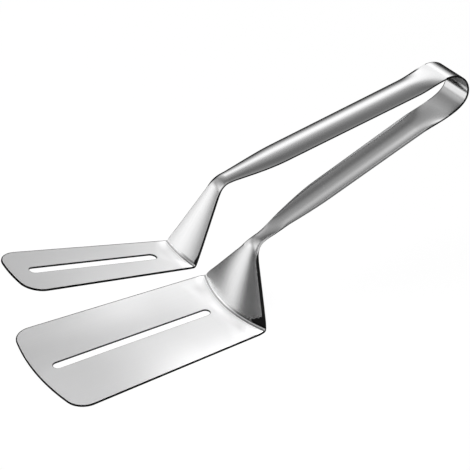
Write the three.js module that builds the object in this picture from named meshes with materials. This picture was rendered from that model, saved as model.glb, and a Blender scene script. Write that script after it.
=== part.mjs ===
// Spatula tongs, pressed from one strip of stainless spring steel.
// A wide slotted blade is bent up at a curved crease into a half-round neck, the strip narrows to a
// waist, runs back as a channelled arm, turns round a flat spring bow and comes forward again as
// the arm, neck and narrower blade of the upper half.
// Millimetres, +Z up, +X towards the bow, the lower blade flat on Z = 0, open as released.

import * as THREE from 'three';

// Sheet and slots
const SHEET = 1.0;
const SLOT_WIDTH = 5.8;

// Lower blade, in plan: from the crease chord to the middle of the front edge.
// Its slot leaves a setback behind it and a margin at the tip.
const LOWER_BLADE_LENGTH = 128.0;
const LOWER_BLADE_FRONT_WIDTH = 82.5;
const LOWER_BLADE_CREASE_WIDTH = 68.0;
const LOWER_FRONT_BOW = 5.9;
const LOWER_CORNER_RADIUS = 11.4;
const LOWER_CREASE_BULGE = 6.5;
const LOWER_SLOT_SETBACK = 17.4;
const LOWER_SLOT_TIP_MARGIN = 10.8;

// Upper blade
const UPPER_BLADE_LENGTH = 105.3;
const UPPER_BLADE_FRONT_WIDTH = 42.5;
const UPPER_BLADE_CREASE_WIDTH = 31.7;
const UPPER_FRONT_BOW = 2.4;
const UPPER_CORNER_RADIUS = 11.1;
const UPPER_CREASE_BULGE = 1.2;
const UPPER_SLOT_SETBACK = 16.4;
const UPPER_SLOT_TIP_MARGIN = 11.4;
const UPPER_BLADE_TILT = 13.0;

// Necks: length and lean of the neck's edges, from crease to waist
const LOWER_NECK_LENGTH = 39.3;
const LOWER_NECK_ANGLE = 72.2;
const UPPER_NECK_LENGTH = 46.4;
const UPPER_NECK_ANGLE = 58.2;
const CREASE_RADIUS = 1.9;
const SHOULDER_LENGTH = 6.0;

// Waists, where the neck bends into the arm
const LOWER_WAIST_WIDTH = 7.4;
const UPPER_WAIST_WIDTH = 9.1;
const WAIST_BEND_RADIUS = 10.8;
const WAIST_EASE_LENGTH = 8.7;
const WAIST_CROWN = 0.7;

// Arms
const ARM_FRONT_WIDTH = 19.3;
const BOW_WIDTH = 21.2;
const ARM_CROWN_RADIUS = 24.4;
const CROWN_FADE_LENGTH = 19.9;
const LOWER_ARM_LENGTH = 137.4;
const LOWER_ARM_ANGLE = 20.6;
const LOWER_ARM_WIDEN_LENGTH = 51.2;
const LOWER_CROWN_RISE_LENGTH = 23.9;
const UPPER_ARM_LENGTH = 149.4;
const UPPER_ARM_ANGLE = 10.4;
const UPPER_ARM_WIDEN_LENGTH = 40.2;

// Spring bow, in side view: the upper arm's end from the lower arm's end, and the apex
const BOW_HEIGHT = 26.6;
const BOW_SETBACK = 4.4;
const BOW_REACH = 12.6;
const BOW_APEX_RISE = 13.6;

// Pulls of the bow's two curves, as shares of the straight line each one spans
const bowPullShares = { topArm: 0.44, topApex: 0.37, bottomApex: 0.39, bottomArm: 0.36 };

// Slope of each arm's edge where it leaves the waist, as a share of its mean slope
const waistSlopeShares = { lower: 0.56, upper: 1.00 };

// How far each arm's centre line sinks to its edges as the crown fades, as a share of the crown
const crownSinkShares = { lower: 0.45, upper: 0.23 };

// Faceting
const ACROSS = 12;
const CREASE_STEPS = 6;
const NECK_STEPS = 8;
const WAIST_STEPS = 8;
const WIDEN_STEPS = 14;
const STRAIGHT_STEPS = 5;
const FADE_STEPS = 12;
const BOW_STEPS = 18;
const CORNER_STEPS = 9;
const FRONT_STEPS = 16;
const SLOT_END_STEPS = 14;
const SHOULDER_STEPS = 4;
const NORMAL_STEP_SHARE = 1e-4;

const radians = THREE.MathUtils.degToRad;
const smooth = (share) => THREE.MathUtils.smoothstep(share, 0, 1);

// Side view helpers: plane vectors hold X in x and Z in y
const heading = (degrees) => new THREE.Vector2(Math.cos(radians(degrees)), Math.sin(radians(degrees)));
const along = (from, direction, distance) => from.clone().addScaledVector(direction, distance);
const turnLeft = (direction) => new THREE.Vector2(-direction.y, direction.x);
const tangentLength = (radius, before, after) => radius * Math.tan(before.angleTo(after) / 2);

// A parabola that rounds a corner: share 0 lies at the arriving end, share 1 at the leaving end
function roundedCorner(corner, arriving, leaving, share) {
  const back = arriving.clone().sub(corner).multiplyScalar((1 - share) ** 2);
  const on = leaving.clone().sub(corner).multiplyScalar(share ** 2);
  return corner.clone().add(back).add(on);
}

// The same rounding for a width that changes slope at a station
function roundedWidth(atCorner, arriving, leaving, share) {
  return atCorner + (arriving - atCorner) * (1 - share) ** 2 + (leaving - atCorner) * share ** 2;
}

// One half of the strip, from its blade back to the bow.
// A station is a distance along the strip, 0 at the crease; v runs from -1 to 1 across it.
class Half {
  constructor(sizes) {
    Object.assign(this, sizes);
    this.neckDirection = this.waistEdge.clone().sub(this.crease).normalize();
    this.creaseTangent = tangentLength(CREASE_RADIUS, this.bladeDirection.clone().negate(), this.neckDirection);
    this.waistTangent = tangentLength(WAIST_BEND_RADIUS, this.neckDirection, this.armDirection);
    this.creaseHalf = this.creaseWidth / 2;
    this.bladeSlope = (this.frontWidth - this.creaseWidth) / 2 / this.bladeLength;
    this.neckSlope = (this.waistWidth - this.creaseWidth) / 2 / this.neckLength;
    this.waist = this.neckLength;
    this.end = this.neckLength + this.armLength;
  }

  // Half width of the arm at a distance behind the waist
  armHalf(distance) {
    const rise = (ARM_FRONT_WIDTH - this.waistWidth) / 2;
    const growth = (BOW_WIDTH - ARM_FRONT_WIDTH) / 2 / (this.armLength - this.widenLength);
    if (distance >= this.widenLength) return ARM_FRONT_WIDTH / 2 + growth * (distance - this.widenLength);
    const share = distance / this.widenLength;
    const start = this.waistSlopeShare * rise * share * (1 - share) ** 2;
    const finish = growth * this.widenLength * share ** 2 * (share - 1);
    return this.waistWidth / 2 + start + rise * share ** 2 * (3 - 2 * share) + finish;
  }

  // Half width of the strip at any station
  halfWidth(station) {
    const blade = (at) => this.creaseHalf - this.bladeSlope * at;
    const neck = (at) => this.creaseHalf + this.neckSlope * at;
    const arm = (at) => this.armHalf(at - this.waist);
    if (station <= -SHOULDER_LENGTH) return blade(station);
    if (station < SHOULDER_LENGTH) {
      const share = (station + SHOULDER_LENGTH) / (2 * SHOULDER_LENGTH);
      return roundedWidth(this.creaseHalf, blade(-SHOULDER_LENGTH), neck(SHOULDER_LENGTH), share);
    }
    if (station <= this.waist - WAIST_EASE_LENGTH) return neck(station);
    if (station < this.waist + WAIST_EASE_LENGTH) {
      const share = (station - this.waist + WAIST_EASE_LENGTH) / (2 * WAIST_EASE_LENGTH);
      const before = neck(this.waist - WAIST_EASE_LENGTH);
      return roundedWidth(this.waistWidth / 2, before, arm(this.waist + WAIST_EASE_LENGTH), share);
    }
    return arm(station);
  }

  // Curvature across the arm: its edges drop from the crown line by half of this times y squared
  armCurvature(distance) {
    const waistCurvature = 8 * WAIST_CROWN / this.waistWidth ** 2;
    const full = this.crownSide / ARM_CROWN_RADIUS;
    const rise = smooth(distance / this.crownRiseLength);
    const fade = smooth((this.armLength - distance) / CROWN_FADE_LENGTH);
    return (waistCurvature * (1 - rise) + full * rise) * fade;
  }

  // Sinking of the arm's centre line towards its edges, so that the edges run straight into the bow
  crownSink(distance) {
    const fade = smooth((this.armLength - distance) / CROWN_FADE_LENGTH);
    const crown = this.crownSide * this.armHalf(distance) ** 2 / (2 * ARM_CROWN_RADIUS);
    return this.crownSinkShare * crown * (1 - fade);
  }

  // Side view place of the arm's surface at a distance behind the waist, y from the centre line
  armPoint(distance, y) {
    const onLine = along(this.waistCentre, this.armDirection, distance);
    const drop = this.armCurvature(distance) * y ** 2 / 2 + this.crownSink(distance);
    return along(onLine, turnLeft(this.armDirection), -drop);
  }

  creasePoint(v) {
    return along(this.crease, this.bladeDirection, this.creaseBulge * (1 - v ** 2));
  }

  waistPoint(v) {
    return this.armPoint(0, v * this.waistWidth / 2);
  }

  // Middle surface of the sheet
  surface(station, v) {
    const crease = this.creasePoint(v);
    const waist = this.waistPoint(v);
    const half = this.halfWidth(station);
    const onNeck = (at) => crease.clone().lerp(waist, at / this.neckLength);
    let place;
    if (station <= -this.creaseTangent) {
      place = along(crease, this.bladeDirection, -station);
    } else if (station < this.creaseTangent) {
      const share = (station + this.creaseTangent) / (2 * this.creaseTangent);
      const arriving = along(crease, this.bladeDirection, this.creaseTangent);
      place = roundedCorner(crease, arriving, onNeck(this.creaseTangent), share);
    } else if (station <= this.waist - this.waistTangent) {
      place = onNeck(station);
    } else if (station < this.waist + this.waistTangent) {
      const share = (station - this.waist + this.waistTangent) / (2 * this.waistTangent);
      const leaving = this.armPoint(this.waistTangent, v * half);
      place = roundedCorner(waist, onNeck(this.waist - this.waistTangent), leaving, share);
    } else {
      place = this.armPoint(station - this.waist, v * half);
    }
    return new THREE.Vector3(place.x, v * half, place.y);
  }

  // Direction square to the sheet, on the side that is the top of the blade
  normal(station, v) {
    if (station <= -this.creaseTangent || station >= this.end) {
      const line = station >= this.end ? this.armDirection : this.bladeDirection.clone().negate();
      const up = turnLeft(line);
      return new THREE.Vector3(up.x, 0, up.y);
    }
    const step = NORMAL_STEP_SHARE * this.neckLength;
    const alongStrip = this.surface(station + step, v).sub(this.surface(station - step, v));
    const acrossStrip = this.surface(station, v + NORMAL_STEP_SHARE).sub(this.surface(station, v - NORMAL_STEP_SHARE));
    return alongStrip.cross(acrossStrip).normalize();
  }

  // Ring of points round the sheet at one station: over the top side, back along the under side
  ring(station) {
    const top = [];
    const under = [];
    for (let i = 0; i <= ACROSS; i += 1) {
      const v = -1 + 2 * i / ACROSS;
      const middle = this.surface(station, v);
      const normal = this.normal(station, v);
      top.push(middle.clone().addScaledVector(normal, SHEET / 2));
      under.push(middle.clone().addScaledVector(normal, -SHEET / 2));
    }
    return top.concat(under.reverse());
  }
}

// Even steps between two stations, the last one included
function evenSteps(from, to, count) {
  return Array.from({ length: count }, (_, i) => from + (to - from) * (i + 1) / count);
}

function neckStations(half) {
  const bendStart = half.waist - half.waistTangent;
  return [
    -half.creaseTangent,
    ...evenSteps(-half.creaseTangent, half.creaseTangent, CREASE_STEPS),
    ...evenSteps(half.creaseTangent, bendStart, NECK_STEPS),
    ...evenSteps(bendStart, half.waist + half.waistTangent, WAIST_STEPS),
  ];
}

function armStations(half) {
  const bendEnd = half.waist + half.waistTangent;
  const widened = half.waist + half.widenLength;
  const fadeStart = half.end - CROWN_FADE_LENGTH;
  return [
    bendEnd,
    ...evenSteps(bendEnd, widened, WIDEN_STEPS),
    ...evenSteps(widened, fadeStart, STRAIGHT_STEPS),
    ...evenSteps(fadeStart, half.end, FADE_STEPS),
  ];
}

// Closed solid through a row of rings, each ring running the same way round the sheet
function stripGeometry(rings) {
  const size = rings[0].length;
  const corners = [];
  rings.flat().forEach((point) => corners.push(point.x, point.y, point.z));
  const faces = [];
  const quad = (a, b, c, d) => faces.push(a, b, c, a, c, d);
  for (let r = 0; r < rings.length - 1; r += 1) {
    for (let i = 0; i < size; i += 1) {
      const next = (i + 1) % size;
      quad(r * size + i, (r + 1) * size + i, (r + 1) * size + next, r * size + next);
    }
  }
  const last = (rings.length - 1) * size;
  for (let i = 0; i < ACROSS; i += 1) {
    const opposite = size - 1 - i;
    quad(i, i + 1, opposite - 1, opposite);
    quad(last + i, last + opposite, last + opposite - 1, last + i + 1);
  }
  const geometry = new THREE.BufferGeometry();
  geometry.setAttribute('position', new THREE.Float32BufferAttribute(corners, 3));
  geometry.setIndex(faces);
  geometry.computeVertexNormals();
  return geometry;
}

// Plan of one side of a blade, from the crease to the middle of the front edge.
// Points hold the distance ahead of the crease chord in x and the distance from the centre line in y.
function bladeSide(half) {
  const frontHalf = half.frontWidth / 2;
  const frontRadius = (frontHalf ** 2 + half.frontBow ** 2) / (2 * half.frontBow);
  const frontCentre = half.bladeLength - frontRadius;
  // The corner's circle touches the straight side and, from inside, the front arc
  const lean = Math.hypot(1, half.bladeSlope);
  const inset = half.creaseHalf - half.cornerRadius * lean;
  const reach = frontRadius - half.cornerRadius;
  const square = 1 + half.bladeSlope ** 2;
  const linear = half.bladeSlope * inset - frontCentre;
  const rest = frontCentre ** 2 + inset ** 2 - reach ** 2;
  const cornerAhead = (-linear + Math.sqrt(linear ** 2 - square * rest)) / square;
  const cornerAside = inset + half.bladeSlope * cornerAhead;
  const sideAngle = Math.atan2(1, -half.bladeSlope);
  const frontAngle = Math.atan2(cornerAside, cornerAhead - frontCentre);
  const corner = new THREE.EllipseCurve(
    cornerAhead, cornerAside, half.cornerRadius, half.cornerRadius, sideAngle, frontAngle, true,
  );
  const front = new THREE.EllipseCurve(frontCentre, 0, frontRadius, frontRadius, frontAngle, 0, true);
  const shoulder = evenSteps(half.creaseTangent, SHOULDER_LENGTH, SHOULDER_STEPS)
    .map((ahead) => new THREE.Vector2(ahead, half.halfWidth(-ahead)));
  return [
    ...shoulder,
    ...corner.getPoints(CORNER_STEPS),
    ...front.getPoints(FRONT_STEPS / 2).slice(1),
  ];
}

// Round-ended slot on the centre line
function slotPath(half) {
  const radius = SLOT_WIDTH / 2;
  const rear = half.slotSetback + radius;
  const front = half.bladeLength - half.slotTipMargin - radius;
  const path = new THREE.Path();
  path.absarc(front, 0, radius, -Math.PI / 2, Math.PI / 2, false);
  path.absarc(rear, 0, radius, Math.PI / 2, 3 * Math.PI / 2, false);
  return new THREE.Path(path.getPoints(SLOT_END_STEPS / 2));
}

// Flat blade: its rear edge follows the curved crease, where the neck starts to rise
function bladeGeometry(half) {
  const side = bladeSide(half);
  const rear = [];
  for (let i = 0; i <= ACROSS; i += 1) {
    const v = -1 + 2 * i / ACROSS;
    const ahead = half.creaseTangent + half.creaseBulge * (1 - v ** 2);
    rear.push(new THREE.Vector2(ahead, v * half.halfWidth(-half.creaseTangent)));
  }
  const mirrored = side.slice(0, -1).reverse().map((point) => new THREE.Vector2(point.x, -point.y));
  const plan = new THREE.Shape([...rear.reverse(), ...mirrored.slice().reverse(), ...side.slice().reverse()]);
  plan.holes.push(slotPath(half));
  const geometry = new THREE.ExtrudeGeometry(plan, { depth: SHEET, bevelEnabled: false });
  const ahead = new THREE.Vector3(half.bladeDirection.x, 0, half.bladeDirection.y);
  const up = half.normal(-half.creaseTangent, 0);
  const aside = new THREE.Vector3().crossVectors(up, ahead);
  const place = new THREE.Matrix4().makeBasis(ahead, aside, up);
  const start = new THREE.Vector3(half.crease.x, 0, half.crease.y).addScaledVector(up, -SHEET / 2);
  place.setPosition(start);
  return geometry.applyMatrix4(place);
}

// Side view of the whole strip, worked out from the lower blade round to the upper one
const lowerCrease = new THREE.Vector2(0, SHEET / 2);
const lowerWaistEdge = along(lowerCrease, heading(LOWER_NECK_ANGLE), LOWER_NECK_LENGTH);
const lowerArmDirection = heading(LOWER_ARM_ANGLE);
const lowerWaist = along(lowerWaistEdge, turnLeft(lowerArmDirection), WAIST_CROWN);
const lowerArmEnd = along(lowerWaist, lowerArmDirection, LOWER_ARM_LENGTH);
const bowApex = lowerArmEnd.clone().add(new THREE.Vector2(BOW_REACH, BOW_APEX_RISE));
const upperArmEnd = lowerArmEnd.clone().add(new THREE.Vector2(-BOW_SETBACK, BOW_HEIGHT));
const upperArmDirection = heading(UPPER_ARM_ANGLE);
const upperWaist = along(upperArmEnd, upperArmDirection, -UPPER_ARM_LENGTH);
const upperWaistEdge = along(upperWaist, turnLeft(upperArmDirection), -WAIST_CROWN);
const upperCrease = along(upperWaistEdge, heading(UPPER_NECK_ANGLE), -UPPER_NECK_LENGTH);

const lower = new Half({
  bladeLength: LOWER_BLADE_LENGTH,
  frontWidth: LOWER_BLADE_FRONT_WIDTH,
  creaseWidth: LOWER_BLADE_CREASE_WIDTH,
  frontBow: LOWER_FRONT_BOW,
  cornerRadius: LOWER_CORNER_RADIUS,
  creaseBulge: LOWER_CREASE_BULGE,
  slotSetback: LOWER_SLOT_SETBACK,
  slotTipMargin: LOWER_SLOT_TIP_MARGIN,
  neckLength: LOWER_NECK_LENGTH,
  waistWidth: LOWER_WAIST_WIDTH,
  waistSlopeShare: waistSlopeShares.lower,
  crownSinkShare: crownSinkShares.lower,
  armLength: LOWER_ARM_LENGTH,
  widenLength: LOWER_ARM_WIDEN_LENGTH,
  crownRiseLength: LOWER_CROWN_RISE_LENGTH,
  crownSide: -1,
  crease: lowerCrease,
  bladeDirection: heading(180),
  waistEdge: lowerWaistEdge,
  waistCentre: lowerWaist,
  armDirection: lowerArmDirection,
});

const upper = new Half({
  bladeLength: UPPER_BLADE_LENGTH,
  frontWidth: UPPER_BLADE_FRONT_WIDTH,
  creaseWidth: UPPER_BLADE_CREASE_WIDTH,
  frontBow: UPPER_FRONT_BOW,
  cornerRadius: UPPER_CORNER_RADIUS,
  creaseBulge: UPPER_CREASE_BULGE,
  slotSetback: UPPER_SLOT_SETBACK,
  slotTipMargin: UPPER_SLOT_TIP_MARGIN,
  neckLength: UPPER_NECK_LENGTH,
  waistWidth: UPPER_WAIST_WIDTH,
  waistSlopeShare: waistSlopeShares.upper,
  crownSinkShare: crownSinkShares.upper,
  armLength: UPPER_ARM_LENGTH,
  widenLength: UPPER_ARM_WIDEN_LENGTH,
  crownRiseLength: UPPER_ARM_WIDEN_LENGTH,
  crownSide: 1,
  crease: upperCrease,
  bladeDirection: heading(180 - UPPER_BLADE_TILT),
  waistEdge: upperWaistEdge,
  waistCentre: upperWaist,
  armDirection: upperArmDirection,
});

// Two curves draw the bow in side view, from the lower arm's end round to the upper arm's end
const rise = new THREE.Vector2(0, 1);
const bowStart = lower.armPoint(LOWER_ARM_LENGTH, 0);
const bowFinish = upper.armPoint(UPPER_ARM_LENGTH, 0);
const bottomSpan = bowApex.distanceTo(bowStart);
const topSpan = bowApex.distanceTo(bowFinish);
const bowBottom = new THREE.CubicBezierCurve(
  bowStart,
  along(bowStart, lowerArmDirection, bowPullShares.bottomArm * bottomSpan),
  along(bowApex, rise, -bowPullShares.bottomApex * bottomSpan),
  bowApex,
);
const bowTop = new THREE.CubicBezierCurve(
  bowApex,
  along(bowApex, rise, bowPullShares.topApex * topSpan),
  along(bowFinish, upperArmDirection, bowPullShares.topArm * topSpan),
  bowFinish,
);

// Flat ring of the bow at one point of its side view, on the same points across as the arms
function bowRing(curve, share) {
  const place = curve.getPoint(share);
  const inward = turnLeft(curve.getTangent(share));
  const top = [];
  const under = [];
  for (let i = 0; i <= ACROSS; i += 1) {
    const y = (-1 + 2 * i / ACROSS) * BOW_WIDTH / 2;
    const inner = along(place, inward, SHEET / 2);
    const outer = along(place, inward, -SHEET / 2);
    top.push(new THREE.Vector3(inner.x, y, inner.y));
    under.push(new THREE.Vector3(outer.x, y, outer.y));
  }
  return top.concat(under.reverse());
}

// The upper half's rings run from the tip back, so the bow meets them turned over
function bowGeometry() {
  const rings = [lower.ring(lower.end)];
  for (let i = 1; i <= BOW_STEPS; i += 1) rings.push(bowRing(bowBottom, i / BOW_STEPS));
  for (let i = 1; i < BOW_STEPS; i += 1) rings.push(bowRing(bowTop, i / BOW_STEPS));
  const last = upper.ring(upper.end);
  const over = last.slice(0, ACROSS + 1);
  const below = last.slice(ACROSS + 1);
  rings.push(below.reverse().concat(over.reverse()));
  return stripGeometry(rings);
}

const neckGeometry = (half) => stripGeometry(neckStations(half).map((station) => half.ring(station)));
const armGeometry = (half) => stripGeometry(armStations(half).map((station) => half.ring(station)));

// Finishes: satin blades, brighter necks, arms with a soft polish
const satinBlade = { color: 0xdfdfde, roughness: 0.42, metalness: 1.0 };
const polishedNeck = { color: 0xd6d6d6, roughness: 0.22, metalness: 1.0 };
const polishedArm = { color: 0xa9a8a8, roughness: 0.28, metalness: 1.0 };

const pieces = [
  ['lower_blade', bladeGeometry(lower), satinBlade],
  ['lower_neck', neckGeometry(lower), polishedNeck],
  ['lower_arm', armGeometry(lower), polishedArm],
  ['spring_bow', bowGeometry(), polishedArm],
  ['upper_arm', armGeometry(upper), polishedArm],
  ['upper_neck', neckGeometry(upper), polishedNeck],
  ['upper_blade', bladeGeometry(upper), satinBlade],
];

const tongs = new THREE.Group();
for (const [name, geometry, finish] of pieces) {
  const piece = new THREE.Mesh(geometry, new THREE.MeshStandardMaterial(finish));
  piece.name = name;
  tongs.add(piece);
}

// The origin lies under the middle of the whole object
const box = new THREE.Box3().setFromObject(tongs);
tongs.position.x = -(box.min.x + box.max.x) / 2;

export default tongs;
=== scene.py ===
# %% [markdown]
# # Spatula tongs
#
# The real object is one strip of stainless spring steel. It begins as a wide slotted blade, is
# folded up at a curved crease, narrows through a half-round neck, runs back as a channelled arm,
# turns round a flat bow and comes forward again to a second, narrower blade.
#
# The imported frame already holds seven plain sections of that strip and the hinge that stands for
# the bow's spring. In this lesson each section gets a fine skin with rounded edges and a finish,
# and the whole gets a small studio that makes steel look like steel.

# %% Load the frame
import math

import bpy
import numpy as np
from mathutils import Matrix, Vector
from mathutils.geometry import delaunay_2d_cdt


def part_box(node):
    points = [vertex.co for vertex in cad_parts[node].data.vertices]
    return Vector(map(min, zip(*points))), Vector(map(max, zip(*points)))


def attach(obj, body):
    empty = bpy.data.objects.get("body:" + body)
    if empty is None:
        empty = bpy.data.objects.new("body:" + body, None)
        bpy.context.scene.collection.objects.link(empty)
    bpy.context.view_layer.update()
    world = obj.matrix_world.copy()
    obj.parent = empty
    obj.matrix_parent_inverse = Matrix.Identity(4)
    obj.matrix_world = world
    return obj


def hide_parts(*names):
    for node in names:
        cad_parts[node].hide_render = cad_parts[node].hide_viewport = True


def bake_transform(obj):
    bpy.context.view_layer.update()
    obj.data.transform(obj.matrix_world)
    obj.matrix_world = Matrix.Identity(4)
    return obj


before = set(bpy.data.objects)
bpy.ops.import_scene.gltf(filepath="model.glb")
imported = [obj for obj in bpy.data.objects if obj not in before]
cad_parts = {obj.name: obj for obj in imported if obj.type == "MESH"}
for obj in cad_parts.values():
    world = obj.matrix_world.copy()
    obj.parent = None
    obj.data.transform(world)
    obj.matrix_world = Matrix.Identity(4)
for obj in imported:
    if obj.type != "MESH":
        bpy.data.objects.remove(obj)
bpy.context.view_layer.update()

# %% [markdown]
# ## Sizes of the strip
#
# A pressed part is described by its flat strip and its folds. Every size below is in
# millimetres or degrees and says the same thing as the frame's own source, so the skin lands
# exactly on the solids. One table per half is easier to read than sizes repeated in each mesh.
# The last two rows of each table are painted shade: how wide the painted dark rim beside the cut
# edge is, on the near and the far side of neck and arm, how far it widens beside the crease, and
# how dark the arm's edges are drawn.

# %% Sizes
MM = 0.001
SHEET = 1.0
SLOT_WIDTH = 5.8
CREASE_RADIUS = 1.9
SHOULDER_LENGTH = 6.0
WAIST_BEND_RADIUS = 10.8
WAIST_EASE_LENGTH = 8.7
WAIST_CROWN = 0.7
ARM_FRONT_WIDTH = 19.3
BOW_WIDTH = 21.2
ARM_CROWN_RADIUS = 24.4
CROWN_FADE_LENGTH = 19.9

LOWER = dict(
    blade_length=128.0, front_width=82.5, crease_width=68.0, front_bow=5.9, corner_radius=11.4,
    crease_bulge=6.5, slot_setback=17.4, slot_tip_margin=10.8, neck_length=39.3, neck_angle=72.2,
    waist_width=7.4, waist_slope_share=0.56, arm_length=137.4, arm_angle=20.6, widen_length=51.2,
    crown_rise_length=23.9, crown_side=-1, crown_sink_share=0.45,
    rim_near=2.0, rim_far=0.0, pinch_width=12.0,
    arm_rim_near=0.0, arm_rim_far=0.0, arm_edge_share=0.25,
)
UPPER = dict(
    blade_length=105.3, front_width=42.5, crease_width=31.7, front_bow=2.4, corner_radius=11.1,
    crease_bulge=1.2, slot_setback=16.4, slot_tip_margin=11.4, neck_length=46.4, neck_angle=58.2,
    waist_width=9.1, waist_slope_share=1.0, arm_length=149.4, arm_angle=10.4, widen_length=40.2,
    crown_rise_length=40.2, crown_side=1, crown_sink_share=0.23, blade_tilt=13.0,
    rim_near=1.0, rim_far=0.3, pinch_width=1.5,
    arm_rim_near=0.5, arm_rim_far=2.4, arm_edge_share=1.0,
)
BOW_HEIGHT, BOW_SETBACK, BOW_REACH, BOW_APEX_RISE = 26.6, 4.4, 12.6, 13.6
BOW_PULL_SHARES = dict(top_arm=0.44, top_apex=0.37, bottom_apex=0.39, bottom_arm=0.36)
print("sheet", SHEET, "mm; lower blade", LOWER["blade_length"], "mm; upper blade",
      UPPER["blade_length"], "mm")


# %% [markdown]
# ## The side view
#
# Seen from the side the strip is a chain of straight runs and bends. Each run starts where the
# last one ended, so the chain is built with a few plane-vector helpers: a heading, a left turn,
# and the length that a rounded bend takes from each run beside it.

# %% Side view helpers
def heading(degrees):
    return np.array([math.cos(math.radians(degrees)), math.sin(math.radians(degrees))])


def turn_left(direction):
    return np.array([-direction[1], direction[0]])


def smooth(share):
    share = np.clip(share, 0.0, 1.0)
    return share * share * (3.0 - 2.0 * share)


def rounded(corner, arriving, leaving, share):
    """A parabola that cuts a corner, between a point before it and one after it."""
    return corner + (arriving - corner) * (1 - share) ** 2 + (leaving - corner) * share ** 2


def tangent_length(radius, before, after):
    return radius * math.tan(math.acos(float(np.clip(before @ after, -1, 1))) / 2)


def upright(pair):
    """An (x, z) pair of the side view as a place or direction in space."""
    return np.array([pair[0], 0.0, pair[1]])


def unit(rows):
    return rows / np.linalg.norm(rows, axis=1)[:, None]


# %% [markdown]
# The chain starts at the lower crease, in the middle of a sheet that lies on the table, and ends
# at the upper crease. Points are (x, z) pairs.

# %% Side view chain
lower_crease = np.array([0.0, SHEET / 2])
lower_waist_edge = lower_crease + heading(LOWER["neck_angle"]) * LOWER["neck_length"]
lower_arm_direction = heading(LOWER["arm_angle"])
lower_waist = lower_waist_edge + turn_left(lower_arm_direction) * WAIST_CROWN
lower_arm_end = lower_waist + lower_arm_direction * LOWER["arm_length"]
bow_apex = lower_arm_end + np.array([BOW_REACH, BOW_APEX_RISE])
upper_arm_end = lower_arm_end + np.array([-BOW_SETBACK, BOW_HEIGHT])
upper_arm_direction = heading(UPPER["arm_angle"])
upper_waist = upper_arm_end - upper_arm_direction * UPPER["arm_length"]
upper_waist_edge = upper_waist - turn_left(upper_arm_direction) * WAIST_CROWN
upper_crease = upper_waist_edge - heading(UPPER["neck_angle"]) * UPPER["neck_length"]
LOWER.update(crease=lower_crease, blade_direction=heading(180), waist_edge=lower_waist_edge,
             waist_centre=lower_waist, arm_direction=lower_arm_direction)
UPPER.update(crease=upper_crease, blade_direction=heading(180 - UPPER["blade_tilt"]),
             waist_edge=upper_waist_edge, waist_centre=upper_waist,
             arm_direction=upper_arm_direction)
print("upper crease", upper_crease.round(2), "bow apex", bow_apex.round(2))


# %% [markdown]
# ## The strip in plan
#
# A station is a distance along the strip, 0 at the crease and negative on the blade. The blade
# and the neck taper in straight lines, rounded where they meet, and the arm widens from the
# waist in one soft curve.

# %% Widths of a half
class StripPlan:
    """One half of the strip: its sizes, its runs and its width at every station."""

    def __init__(self, sizes):
        self.__dict__.update(sizes)
        neck_run = self.waist_edge - self.crease
        self.neck_direction = neck_run / np.linalg.norm(neck_run)
        self.crease_tangent = tangent_length(CREASE_RADIUS, -self.blade_direction,
                                             self.neck_direction)
        self.waist_tangent = tangent_length(WAIST_BEND_RADIUS, self.neck_direction,
                                            self.arm_direction)
        self.crease_half = self.crease_width / 2
        self.blade_slope = (self.front_width - self.crease_width) / 2 / self.blade_length
        self.neck_slope = (self.waist_width - self.crease_width) / 2 / self.neck_length
        self.waist = self.neck_length
        self.end = self.neck_length + self.arm_length

    def blade_half(self, station):
        return self.crease_half - self.blade_slope * station

    def neck_half(self, station):
        return self.crease_half + self.neck_slope * station

    def arm_half(self, distance):
        rise = (ARM_FRONT_WIDTH - self.waist_width) / 2
        growth = (BOW_WIDTH - ARM_FRONT_WIDTH) / 2 / (self.arm_length - self.widen_length)
        if distance >= self.widen_length:
            return ARM_FRONT_WIDTH / 2 + growth * (distance - self.widen_length)
        share = distance / self.widen_length
        start = self.waist_slope_share * rise * share * (1 - share) ** 2
        finish = growth * self.widen_length * share ** 2 * (share - 1)
        return self.waist_width / 2 + start + rise * share ** 2 * (3 - 2 * share) + finish

    def half_width(self, station):
        shoulder, ease = SHOULDER_LENGTH, WAIST_EASE_LENGTH
        if station <= -shoulder:
            return self.blade_half(station)
        if station < shoulder:
            share = (station + shoulder) / (2 * shoulder)
            return rounded(self.crease_half, self.blade_half(-shoulder), self.neck_half(shoulder),
                           share)
        if station <= self.waist - ease:
            return self.neck_half(station)
        if station < self.waist + ease:
            share = (station - self.waist + ease) / (2 * ease)
            return rounded(self.waist_width / 2, self.neck_half(self.waist - ease),
                           self.arm_half(ease), share)
        return self.arm_half(station - self.waist)


# %% [markdown]
# ## One half of the strip as a surface
#
# With v from -1 to 1 across the strip, a function that turns (station, v) into a point of the
# sheet's middle surface is the best base for pressed metal: the same function gives the skin,
# its thickness and its normals, at any fineness. Modelling by hand and then smoothing would lose
# the flat blades and the true cone of the necks.

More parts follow.
